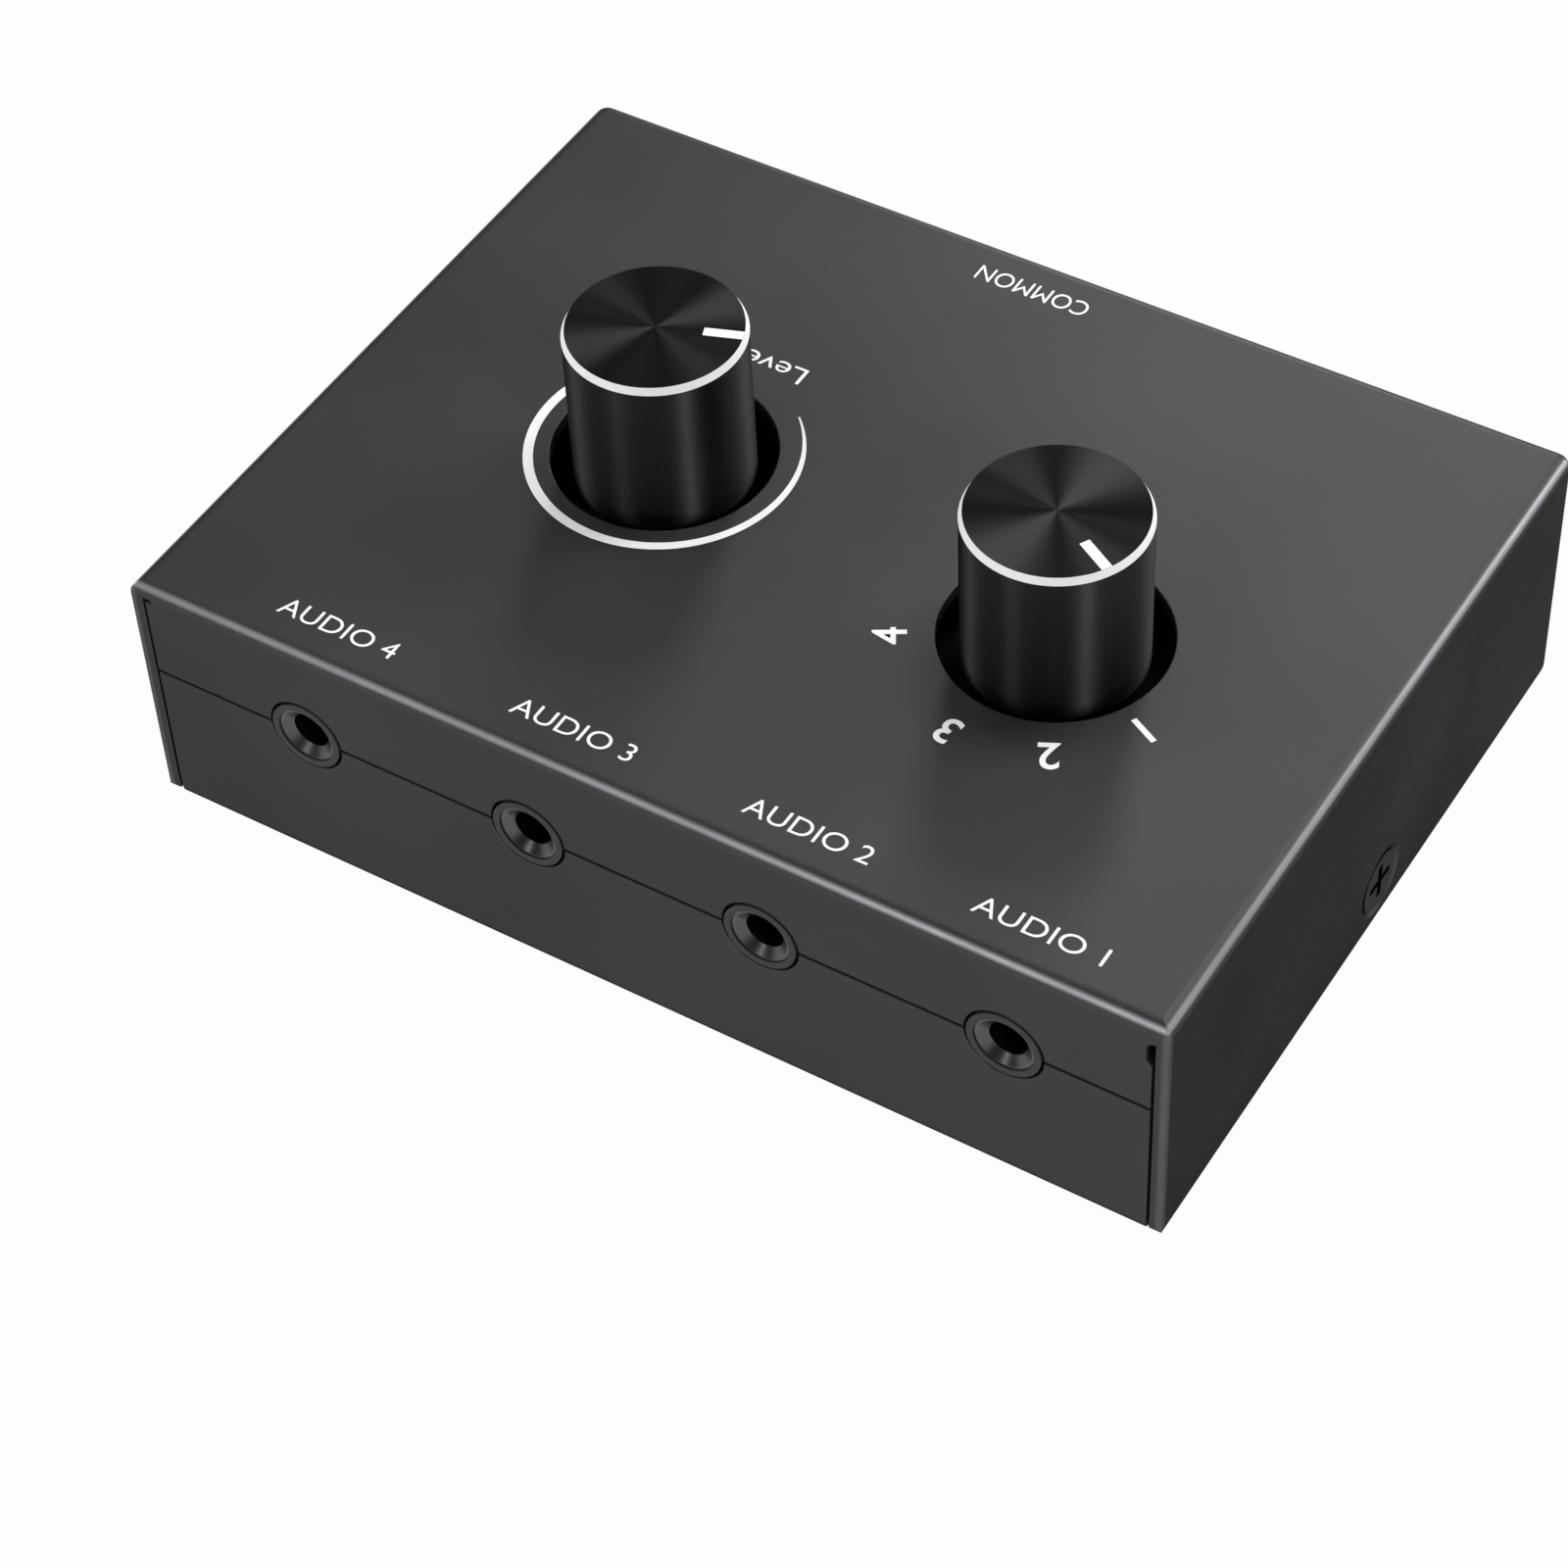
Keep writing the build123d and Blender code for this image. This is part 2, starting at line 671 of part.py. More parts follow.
keep(selector_case, "selector_case")

with BuildPart() as selector_bushing:
    with BuildSketch(spot_plane(selector_spot, switch_top)):
        Circle(switch_bushing_radius)
        Circle(shaft_radius + running_gap, mode=Mode.SUBTRACT)
    extrude(amount=knob_bottom - bushing_gap - switch_top)
keep(selector_bushing, "selector_bushing")

with BuildPart() as selector_contact_board:
    with BuildSketch(spot_plane(selector_spot, board_top)):
        Circle(switch_inner_radius - stator_slip)
    extrude(amount=stator_thickness)
keep(selector_contact_board, "selector_contact_board")

# Each pole has one common contact and a throw contact at every place
pole_angles = [selector_pointer_angle + pole * 360 / pole_count for pole in range(pole_count)]
contact_places = []
for pole_angle in pole_angles:
    contact_places.append((common_radius, pole_angle - selector_travel / 2))
    for place in range(selector_places):
        contact_places.append((throw_radius, pole_angle - place * selector_step))
contact_spots = [
    Vector(selector_spot) + Vector(radius, 0).rotate(Axis.Z, angle)
    for radius, angle in contact_places
]
with BuildPart() as selector_contacts:
    with BuildSketch(Plane.XY.offset(stator_top)):
        with Locations(*contact_spots):
            Circle(contact_radius)
    extrude(amount=contact_height)
keep(selector_contacts, "selector_contacts")

with BuildPart() as selector_pins:
    with BuildSketch(Plane.XY.offset(board_top)):
        with Locations(*contact_spots):
            Circle(pin_radius)
    extrude(amount=-board_thickness - pot_pin_stand_out)
keep(selector_pins, "selector_pins")

with BuildPart() as selector_bridges:
    with BuildSketch(spot_plane(selector_spot, contact_top + bridge_gap)):
        for pole_angle in pole_angles:
            inner = common_radius - bridge_width / 2
            ring_sector(inner, common_radius + bridge_width / 2, pole_angle, selector_step)
            ring_sector(common_radius, throw_radius - contact_radius, pole_angle, selector_step / 2)
    extrude(amount=bridge_thickness)
keep(selector_bridges, "selector_bridges")

with BuildPart() as selector_rotor:
    with BuildSketch(spot_plane(selector_spot, bridge_top)):
        Circle(rotor_radius)
        Circle(spigot_radius + spigot_slip, mode=Mode.SUBTRACT)
    extrude(amount=rotor_top - bridge_top)
    lug_bottom = detent_bottom - stop_lug_height
    with BuildSketch(spot_plane(selector_spot, lug_bottom)):
        lug_root = rotor_radius - stop_lug_overlap
        ring_sector(lug_root, stop_lug_radius, selector_lug_angle, stop_lug_span)
    extrude(amount=stop_lug_height - rotor_stand_off)
    for ball_angle in ball_angles:
        axis = Vector(1, 0, 0).rotate(Axis.Z, ball_angle)
        rim_point = Vector(*selector_spot, ball_z) + axis * rotor_radius
        with BuildSketch(Plane(rim_point + axis * overrun, z_dir=axis)):
            Circle(ball_radius + pocket_slip)
        extrude(amount=-overrun - spring_pocket_length, mode=Mode.SUBTRACT)
keep(selector_rotor, "selector_rotor")

with BuildPart() as detent_ring:
    with BuildSketch(spot_plane(selector_spot, detent_bottom)):
        Circle(switch_inner_radius - detent_slip)
        Circle(detent_crest_radius, mode=Mode.SUBTRACT)
        for ball_angle in ball_angles:
            with PolarLocations(
                ball_place, selector_places, ball_angle - selector_travel, selector_travel, endpoint=True
            ):
                Circle(detent_notch_radius, mode=Mode.SUBTRACT)
    extrude(amount=detent_height)
keep(detent_ring, "detent_ring")

ball_spots = [
    Vector(*selector_spot, ball_z) + Vector(ball_place, 0).rotate(Axis.Z, angle)
    for angle in ball_angles
]
with BuildPart() as detent_balls:
    with Locations(*ball_spots):
        Sphere(ball_radius)
keep(detent_balls, "detent_balls")

with BuildPart() as detent_springs:
    for ball_angle in ball_angles:
        axis = Vector(1, 0, 0).rotate(Axis.Z, ball_angle)
        pocket_end = rotor_radius - spring_pocket_length
        spring_start = Vector(*selector_spot, ball_z) + axis * pocket_end
        spring_inner_radius = detent_spring_radius - detent_spring_wall
        with BuildSketch(Plane(spring_start, z_dir=axis)):
            Circle(detent_spring_radius)
            Circle(spring_inner_radius, mode=Mode.SUBTRACT)
        contact_drop = (ball_radius**2 - spring_inner_radius**2) ** 0.5
        extrude(amount=ball_place - contact_drop - pocket_end - detent_spring_gap)
keep(detent_springs, "detent_springs")

build_shaft(
    "selector_shaft", selector_spot, selector_pointer_angle, rotor_top, contact_top + bridge_gap
)
build_knob("selector", selector_spot, selector_pointer_angle)

# Circuit board on four clinched standoffs, drilled for every leg and pin
with BuildPart() as circuit_board:
    with BuildSketch(Plane.XY.offset(board_bottom)):
        Rectangle(board_width, case_depth - 2 * (sheet + board_edge_gap))
        with Locations(*standoff_spots):
            Circle(board_screw_hole_radius, mode=Mode.SUBTRACT)
        drill_spots = [(x, y) for x, y in pot_pin_spots] + [(v.X, v.Y) for v in contact_spots]
        for face in jack_planes.values():
            drill_spots += [(v.X, v.Y) for v in jack_leg_spots(face)]
        with Locations(*drill_spots):
            Circle(pin_hole_radius, mode=Mode.SUBTRACT)
    extrude(amount=board_thickness)
keep(circuit_board, "circuit_board")

with BuildPart() as board_standoffs:
    with BuildSketch(Plane.XY.offset(floor_top)):
        with Locations(*standoff_spots):
            Circle(standoff_radius)
    extrude(amount=board_bottom - floor_top)
    with BuildSketch(Plane.XY.offset(case_bottom)):
        with Locations(*standoff_spots):
            Circle(standoff_shank_radius)
    extrude(amount=sheet)
    with BuildSketch(Plane.XY.offset(board_bottom - board_screw_reach - overrun)):
        with Locations(*standoff_spots):
            Circle(board_screw_radius + thread_slip)
    extrude(amount=board_screw_reach + 2 * overrun, mode=Mode.SUBTRACT)
keep(board_standoffs, "board_standoffs")

with BuildPart() as board_screws:
    with BuildSketch(Plane.XY.offset(board_top)):
        with Locations(*standoff_spots):
            Circle(board_screw_head_radius)
    extrude(amount=board_screw_head_height)
    fillet(board_screws.edges().group_by(Axis.Z)[-1], radius=board_screw_head_height / 2)
    with BuildSketch(Plane.XY.offset(board_top)):
        with Locations(*standoff_spots):
            Circle(board_screw_radius)
    extrude(amount=-board_thickness - board_screw_reach)
    with BuildSketch(Plane.XY.offset(board_top + board_screw_head_height)):
        with Locations(*standoff_spots):
            Rectangle(recess_length, recess_width)
            Rectangle(recess_width, recess_length)
    extrude(amount=-recess_depth, mode=Mode.SUBTRACT)
keep(board_screws, "board_screws")
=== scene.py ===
import json
import math

import bmesh
import bpy
from mathutils import Matrix, Vector


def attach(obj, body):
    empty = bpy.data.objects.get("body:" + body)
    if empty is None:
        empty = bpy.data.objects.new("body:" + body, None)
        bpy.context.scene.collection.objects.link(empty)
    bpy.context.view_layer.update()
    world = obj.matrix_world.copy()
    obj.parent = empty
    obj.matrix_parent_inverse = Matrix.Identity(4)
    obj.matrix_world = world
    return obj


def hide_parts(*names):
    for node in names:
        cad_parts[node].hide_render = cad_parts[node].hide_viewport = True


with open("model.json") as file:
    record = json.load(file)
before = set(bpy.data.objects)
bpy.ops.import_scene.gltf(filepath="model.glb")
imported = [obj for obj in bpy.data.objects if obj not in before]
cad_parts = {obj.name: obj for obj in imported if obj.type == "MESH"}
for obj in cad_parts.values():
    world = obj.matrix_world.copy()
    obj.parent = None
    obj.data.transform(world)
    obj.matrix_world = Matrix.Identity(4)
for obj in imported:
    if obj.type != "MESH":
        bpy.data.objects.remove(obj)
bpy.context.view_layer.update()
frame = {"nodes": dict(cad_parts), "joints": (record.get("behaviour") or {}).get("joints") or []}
nodes = frame["nodes"]
MM = 0.001

# Camera at the photograph's viewing angle, found from the case's edges and its round
# parts. It stands in front of the case and to its right, and looks down at it.
view_azimuth = math.radians(33.818)
view_elevation = math.radians(47.506)
view_roll = math.radians(-3.171)
view_distance = 397.47 * MM
view_right = -7.245 * MM
view_up = -5.732 * MM
aim_height = 2.245 * MM
film_width = 36
focal_length = 99.633
near_limit = 0.01
back = Vector((
    math.sin(view_azimuth) * math.cos(view_elevation),
    -math.cos(view_azimuth) * math.cos(view_elevation),
    math.sin(view_elevation),
))
level_right = (-back).cross(Vector((0, 0, 1))).normalized()
level_up = level_right.cross(-back)
right = math.cos(view_roll) * level_right + math.sin(view_roll) * level_up
up = -math.sin(view_roll) * level_right + math.cos(view_roll) * level_up
bpy.ops.object.select_all(action="DESELECT")
bpy.ops.object.camera_add()
camera = bpy.context.object
camera.name = "photo_camera"
stand = back * view_distance + right * view_right + up * view_up + Vector((0, 0, aim_height))
camera.matrix_world = Matrix.Translation(stand) @ Matrix((right, up, back)).transposed().to_4x4()
camera.data.sensor_fit = "HORIZONTAL"
camera.data.sensor_width = film_width
camera.data.lens = focal_length
camera.data.clip_start = near_limit
bpy.context.scene.camera = camera

# Case: a folded cover over a folded tray, both of sheet steel with a fine satin black
# powder coat. The coat has a slight grain and is smoothed by use on the bends. The bends
# are also coloured paler: a painted highlight along them, partly paint thinned by use.
case_width = 102.0 * MM
case_depth = 75.5 * MM
case_height = 26.8 * MM
foot_height = 1.5 * MM
cloud_scale = 45
rub_and_highlight_patch_scale = 160
rub_and_highlight_patch_swing = 0.5
rub_and_highlight_patch_least = 0.6
bend_highlight_colour = (0.56, 0.56, 0.59, 1)
bend_highlight_strength = 0.8
rub_smoothing = -0.1
rub_and_highlight_core = 0.38 * MM
rub_and_highlight_width = 0.76 * MM
rub_and_highlight_upright_share = 0.15


def new_group(name, inputs, outputs):
    """A shader node group with named inputs and outputs."""
    group = bpy.data.node_groups.new(name, "ShaderNodeTree")
    for label, kind in inputs:
        group.interface.new_socket(label, in_out="INPUT", socket_type=kind)
    for label, kind in outputs:
        group.interface.new_socket(label, in_out="OUTPUT", socket_type=kind)
    return group, group.nodes.new("NodeGroupInput"), group.nodes.new("NodeGroupOutput")


def math_node(tree, operation, *values):
    """A Math or Vector Math node fed by sockets or plain numbers."""
    vector = operation.startswith("VECTOR_")
    node = tree.nodes.new("ShaderNodeVectorMath" if vector else "ShaderNodeMath")
    node.operation = operation.removeprefix("VECTOR_")
    for socket, value in zip(node.inputs, values):
        if isinstance(value, bpy.types.NodeSocket):
            tree.links.new(value, socket)
        else:
            socket.default_value = value
    return node.outputs[0]


grain, grain_in, grain_out = new_group(
    "surface_grain",
    [
        ("Position", "NodeSocketVector"),
        ("Colour", "NodeSocketColor"),
        ("Grain Size", "NodeSocketFloat"),
        ("Contrast", "NodeSocketFloat"),
        ("Roughness", "NodeSocketFloat"),
        ("Spread", "NodeSocketFloat"),
    ],
    [("Colour", "NodeSocketColor"), ("Roughness", "NodeSocketFloat"), ("Height", "NodeSocketFloat")],
)
fine = grain.nodes.new("ShaderNodeTexNoise")
fine.inputs["Detail"].default_value = 3
cloud = grain.nodes.new("ShaderNodeTexNoise")
cloud.inputs["Scale"].default_value = cloud_scale
cloud.inputs["Detail"].default_value = 4
grain.links.new(grain_in.outputs["Position"], fine.inputs["Vector"])
grain.links.new(grain_in.outputs["Position"], cloud.inputs["Vector"])
specks_per_metre = math_node(grain, "DIVIDE", 1 / MM, grain_in.outputs["Grain Size"])
grain.links.new(specks_per_metre, fine.inputs["Scale"])
speck = math_node(grain, "SUBTRACT", fine.outputs["Fac"], 0.5)
drift = math_node(grain, "SUBTRACT", cloud.outputs["Fac"], 0.5)
change = math_node(grain, "ADD", speck, drift)
tone = grain.nodes.new("ShaderNodeHueSaturation")
brightness = math_node(grain, "MULTIPLY_ADD", change, grain_in.outputs["Contrast"], 1.0)
grain.links.new(brightness, tone.inputs["Value"])
grain.links.new(grain_in.outputs["Colour"], tone.inputs["Color"])
grain.links.new(tone.outputs["Color"], grain_out.inputs["Colour"])
gloss = math_node(grain, "MULTIPLY_ADD", change, grain_in.outputs["Spread"], grain_in.outputs["Roughness"])
grain.links.new(gloss, grain_out.inputs["Roughness"])
grain.links.new(fine.outputs["Fac"], grain_out.inputs["Height"])


def new_finish(name, colour, roughness, grain_size, contrast, spread, relief, **fixed):
    """A material with the surface grain. Its grain size and relief are in millimetres."""
    material = bpy.data.materials.new(name)
    material.use_nodes = True
    tree = material.node_tree
    shader = tree.nodes["Principled BSDF"]
    place = tree.nodes.new("ShaderNodeTexCoord")
    place.name = "place"
    surface = tree.nodes.new("ShaderNodeGroup")
    surface.name = "grain"
    surface.node_tree = grain
    surface.inputs["Colour"].default_value = (*colour, 1)
    surface.inputs["Grain Size"].default_value = grain_size
    surface.inputs["Contrast"].default_value = contrast
    surface.inputs["Roughness"].default_value = roughness
    surface.inputs["Spread"].default_value = spread
    bump = tree.nodes.new("ShaderNodeBump")
    bump.inputs["Strength"].default_value = 1
    bump.inputs["Distance"].default_value = relief * MM
    tree.links.new(place.outputs["Object"], surface.inputs["Position"])
    tree.links.new(surface.outputs["Colour"], shader.inputs["Base Color"])
    tree.links.new(surface.outputs["Roughness"], shader.inputs["Roughness"])
    tree.links.new(surface.outputs["Height"], bump.inputs["Height"])
    tree.links.new(bump.outputs["Normal"], shader.inputs["Normal"])
    for label, value in fixed.items():
        shader.inputs[label.replace("_", " ")].default_value = value
    return material


def coat(material, *names):
    """Give CAD nodes a material."""
    for name in names:
        nodes[name].data.materials.clear()
        nodes[name].data.materials.append(material)


# Mask of the bends, for the coat smoothed by use and for the painted highlight along them.
wear_and_highlight, wear_and_highlight_in, wear_and_highlight_out = new_group(
    "edge_wear_and_highlight",
    [
        ("Position", "NodeSocketVector"),
        ("Centre", "NodeSocketVector"),
        ("Half Size", "NodeSocketVector"),
        ("Core", "NodeSocketFloat"),
        ("Width", "NodeSocketFloat"),
        ("Upright Share", "NodeSocketFloat"),
    ],
    [("Mask", "NodeSocketFloat")],
)
offset = math_node(wear_and_highlight, "VECTOR_SUBTRACT", wear_and_highlight_in.outputs["Position"], wear_and_highlight_in.outputs["Centre"])
reach = math_node(wear_and_highlight, "VECTOR_ABSOLUTE", offset)
inside = math_node(wear_and_highlight, "VECTOR_SUBTRACT", wear_and_highlight_in.outputs["Half Size"], reach)
split = wear_and_highlight.nodes.new("ShaderNodeSeparateXYZ")
wear_and_highlight.links.new(inside, split.inputs[0])
in_x, in_y, in_z = split.outputs
nearest_side = math_node(wear_and_highlight, "MINIMUM", in_x, in_y)
from_level_edge = math_node(wear_and_highlight, "MAXIMUM", nearest_side, in_z)
from_upright_edge = math_node(wear_and_highlight, "MAXIMUM", in_x, in_y)
bands = []
for distance in (from_level_edge, from_upright_edge):
    band = wear_and_highlight.nodes.new("ShaderNodeMapRange")
    band.interpolation_type = "SMOOTHSTEP"
    wear_and_highlight.links.new(distance, band.inputs["Value"])
    wear_and_highlight.links.new(wear_and_highlight_in.outputs["Core"], band.inputs["From Min"])
    wear_and_highlight.links.new(wear_and_highlight_in.outputs["Width"], band.inputs["From Max"])
    band.inputs["To Min"].default_value = 1
    band.inputs["To Max"].default_value = 0
    bands.append(band.outputs["Result"])
level_band, upright_band = bands
upright_wear_and_highlight = math_node(wear_and_highlight, "MULTIPLY", upright_band, wear_and_highlight_in.outputs["Upright Share"])
worn_and_highlight = math_node(wear_and_highlight, "MAXIMUM", level_band, upright_wear_and_highlight)
patchy = wear_and_highlight.nodes.new("ShaderNodeTexNoise")
patchy.inputs["Scale"].default_value = rub_and_highlight_patch_scale
wear_and_highlight.links.new(wear_and_highlight_in.outputs["Position"], patchy.inputs["Vector"])
uneven = math_node(wear_and_highlight, "MULTIPLY_ADD", patchy.outputs["Fac"], rub_and_highlight_patch_swing, rub_and_highlight_patch_least)
wear_and_highlight.links.new(math_node(wear_and_highlight, "MULTIPLY", worn_and_highlight, uneven), wear_and_highlight_out.inputs["Mask"])

case_black = new_finish(
    "case_black", (0.070, 0.070, 0.072), roughness=0.46, grain_size=0.16,
    contrast=0.32, spread=0.10, relief=0.006,
    Metallic=0.7, Specular_IOR_Level=0.0, Specular_Tint=(0.25, 0.25, 0.25, 1),
)
case_tree = case_black.node_tree
case_shader = case_tree.nodes["Principled BSDF"]
case_grain = case_tree.nodes["grain"]
bends = case_tree.nodes.new("ShaderNodeGroup")
bends.node_tree = wear_and_highlight
bends.inputs["Centre"].default_value = (0, 0, foot_height + case_height / 2)
bends.inputs["Half Size"].default_value = (case_width / 2, case_depth / 2, case_height / 2)
bends.inputs["Core"].default_value = rub_and_highlight_core
bends.inputs["Width"].default_value = rub_and_highlight_width
bends.inputs["Upright Share"].default_value = rub_and_highlight_upright_share
case_tree.links.new(case_tree.nodes["place"].outputs["Object"], bends.inputs["Position"])
# Paler colour along the bends: a painted highlight, partly paint thinned by use.
bend_highlight_mix = case_tree.nodes.new("ShaderNodeMix")
bend_highlight_mix.data_type = "RGBA"
bend_highlight_mix.inputs["B"].default_value = bend_highlight_colour
bend_highlight_share = math_node(case_tree, "MULTIPLY", bends.outputs["Mask"], bend_highlight_strength)
case_tree.links.new(bend_highlight_share, bend_highlight_mix.inputs["Factor"])
case_tree.links.new(case_grain.outputs["Colour"], bend_highlight_mix.inputs["A"])
case_tree.links.new(bend_highlight_mix.outputs["Result"], case_shader.inputs["Base Color"])
smoother = math_node(
    case_tree, "MULTIPLY_ADD", bends.outputs["Mask"], rub_smoothing, case_grain.outputs["Roughness"]
)
case_tree.links.new(smoother, case_shader.inputs["Roughness"])
coat(case_black, "top_cover", "bottom_tray")

# Side screws: countersunk, black oxide steel, with a pressed cross recess. One holds
# each side of the cover to the tray, low down and near the middle.
black_oxide = new_finish(
    "black_oxide", (0.012, 0.012, 0.0125), roughness=0.24, grain_size=0.25,
    contrast=0.4, spread=0.12, relief=0.008,
    Metallic=0.8, Specular_IOR_Level=0.3, Specular_Tint=(0.12, 0.12, 0.12, 1),
)
coat(black_oxide, "side_screws")

# Feet: four stick-on discs of matt black rubber under the tray's corners, with their
# lower edges eased.
foot_rubber = new_finish(
    "foot_rubber", (0.018, 0.018, 0.018), roughness=0.85, grain_size=0.3,
    contrast=0.3, spread=0.05, relief=0.02, Specular_IOR_Level=0.3,
)
coat(foot_rubber, "rubber_feet")

# Jacks: a moulded black housing on the board, whose nose ends flush with the panel, and
# a black nickel sleeve inside the nose with a coned mouth. Behind it are bare springs.
jack_plastic = new_finish(
    "jack_plastic", (0.035, 0.035, 0.036), roughness=0.45, grain_size=0.2,
    contrast=0.2, spread=0.08, relief=0.004, Specular_IOR_Level=0.15,
)
jack_nickel = new_finish(
    "jack_nickel", (0.09, 0.09, 0.094), roughness=0.3, grain_size=0.3,
    contrast=0.25, spread=0.1, relief=0.003, Metallic=1.0,
)
spring_brass = new_finish(
    "spring_brass", (0.72, 0.52, 0.2), roughness=0.32, grain_size=0.4,
    contrast=0.2, spread=0.1, relief=0.003, Metallic=1.0,
)
for jack in ("line_1_jack", "line_2_jack", "line_3_jack", "line_4_jack", "main_jack"):
    coat(jack_plastic, f"{jack}_housing")
    coat(jack_nickel, f"{jack}_sleeve")
    coat(spring_brass, f"{jack}_springs")

# Printed marks: white ink, screened on the cover. A ring that grows with the level runs
# round the volume knob, and plain numbers and words name the selector's places and jacks.
cover_top = foot_height + case_height
ink = 0.02 * MM
letter_height = 1.95 * MM
letter_weight = -0.004
curve_steps = 6
weld = 0.0001
words_inset_y = 33.4 * MM
line_words_x = (37.1, 15.5, -7.5, -31.6)
line_words_length = 12.0 * MM
main_words_x = -1.1 * MM
main_words_length = 11.4 * MM
volume_word_spot = (-16.8 * MM, 13.1 * MM)
volume_word_height = 2.1 * MM
volume_word_length = 7.0 * MM
read_from_front = 0
read_from_rear = 180
digit_height = 3.0 * MM
digit_weight = 0.012
# Each digit's direction from the selector's axis in degrees, and its distance in millimetres
digit_places = ((-27.7, 13.3), (-63.3, 14.1), (-99.5, 14.4), (-149.8, 14.1))
ring_radius = 12.6 * MM
ring_facets = 360
ring_quiet_angle = 50
ring_travel = 280
ring_thin_line = 0.12 * MM
ring_growth = 0.82 * MM
ring_growth_share = 0.2
white_paint = new_finish(
    "white_paint", (0.92, 0.92, 0.92), roughness=0.5, grain_size=0.25,
    contrast=0.05, spread=0.1, relief=0.002, Specular_IOR_Level=0.3,
)
axes = {joint["name"]: joint["pos_m"] for joint in frame["joints"]}
volume_x, volume_y, _ = axes["volume_turn"]
selector_x, selector_y, _ = axes["selector_turn"]


def print_words(name, words, height, x, y, turn, length=None, weight=letter_weight):
    """Words in white ink on the cover, of a given letter height, centred on a point."""
    bpy.ops.object.select_all(action="DESELECT")
    bpy.ops.object.text_add()
    label = bpy.context.object
    label.name = name
    label.data.body = words
    # Half a unit each way makes the letters one unit thick, so their scale is the ink's depth
    label.data.extrude = 0.5
    label.data.offset = weight
    label.data.resolution_u = curve_steps
    bpy.ops.object.convert(target="MESH")
    bpy.ops.object.mode_set(mode="EDIT")
    bpy.ops.mesh.select_all(action="SELECT")
    bpy.ops.mesh.remove_doubles(threshold=weld)
    bpy.ops.mesh.normals_make_consistent(inside=False)
    bpy.ops.object.mode_set(mode="OBJECT")
    bpy.ops.object.origin_set(type="ORIGIN_GEOMETRY", center="BOUNDS")
    tall = height / label.dimensions.y
    wide = length / label.dimensions.x if length else tall
    label.scale = (wide, tall, ink)
    label.location = (x, y, cover_top + ink / 2)
    label.rotation_euler = (0, 0, math.radians(turn))
    bpy.ops.object.transform_apply(location=True, rotation=True, scale=True)
    label.data.materials.append(white_paint)
    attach(label, "case")


for number, x in enumerate(line_words_x, 1):
    print_words(
        f"line_{number}_words", f"AUDIO {number}", letter_height,
        x * MM, -words_inset_y, read_from_front, line_words_length,
    )
print_words(
    "main_words", "COMMON", letter_height,
    main_words_x, words_inset_y, read_from_rear, main_words_length,
)
print_words(
    "volume_word", "Level", volume_word_height,
    *volume_word_spot, read_from_rear, volume_word_length,
)
for number, (angle, distance) in enumerate(digit_places, 1):
    along = math.radians(angle)
    x = selector_x + math.cos(along) * distance * MM
    y = selector_y + math.sin(along) * distance * MM
    print_words(
        f"place_{number}_mark", str(number), digit_height, x, y, angle - 90, weight=digit_weight
    )


def turned_up(point):
    """How far round the ring a point lies from its quiet end, in degrees."""
    angle = math.degrees(math.atan2(point.y - volume_y, point.x - volume_x))
    return (ring_quiet_angle - angle) % 360


bpy.ops.object.select_all(action="DESELECT")
bpy.ops.mesh.primitive_circle_add(
    vertices=ring_facets, radius=ring_radius, location=(volume_x, volume_y, cover_top)
)
ring = bpy.context.object
ring.name = "volume_ring"
bpy.ops.object.transform_apply(location=True, rotation=True, scale=True)
bpy.ops.object.mode_set(mode="EDIT")
shape = bmesh.from_edit_mesh(ring.data)
unprinted = [v for v in shape.verts if turned_up(v.co) > ring_travel]
bmesh.ops.delete(shape, geom=unprinted, context="VERTS")
bmesh.update_edit_mesh(ring.data)
bpy.ops.mesh.select_all(action="SELECT")
bpy.ops.mesh.extrude_edges_move()
shape = bmesh.from_edit_mesh(ring.data)
for v in shape.verts:
    if v.select:
        share = turned_up(v.co) / ring_travel
        line = ring_growth * (1 - math.exp(-share / ring_growth_share)) + ring_thin_line
        v.co -= Vector((v.co.x - volume_x, v.co.y - volume_y, 0)).normalized() * line
bmesh.update_edit_mesh(ring.data)
bpy.ops.mesh.select_all(action="SELECT")
bpy.ops.mesh.extrude_region_move(TRANSFORM_OT_translate={"value": (0, 0, ink)})
bpy.ops.mesh.select_all(action="SELECT")
bpy.ops.mesh.normals_make_consistent(inside=False)
bpy.ops.object.mode_set(mode="OBJECT")
ring.data.materials.append(white_paint)
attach(ring, "case")

# Knobs: turned aluminium, anodised black, with a top of fine turned rings and a cut rim
# painted white. A white line is let into the top, and a moulded core grips the shaft.
knob_radius = 8.2 * MM
knob_foot = 26.4 * MM
knob_head = 42.86 * MM
knob_facets = 144
knob_smooth_angle = math.radians(12)
rim_drop = 0.65 * MM
rim_inset = 0.33 * MM
core_radius = 6.5 * MM
crown = 3.0 * MM
groove_pitch = 0.24 * MM
groove_depth = 0.009 * MM
groove_count = 31
turned_look = {
    "Metallic": 1.0,
    "Specular_Tint": (0.35, 0.35, 0.35, 1),
    "Anisotropic_Rotation": 0.25,
}
knob_top_black = new_finish(
    "knob_top_black", (0.030, 0.030, 0.031), roughness=0.36, grain_size=0.2,
    contrast=0.15, spread=0.04, relief=0.0, Anisotropic=0.94, **turned_look,
)
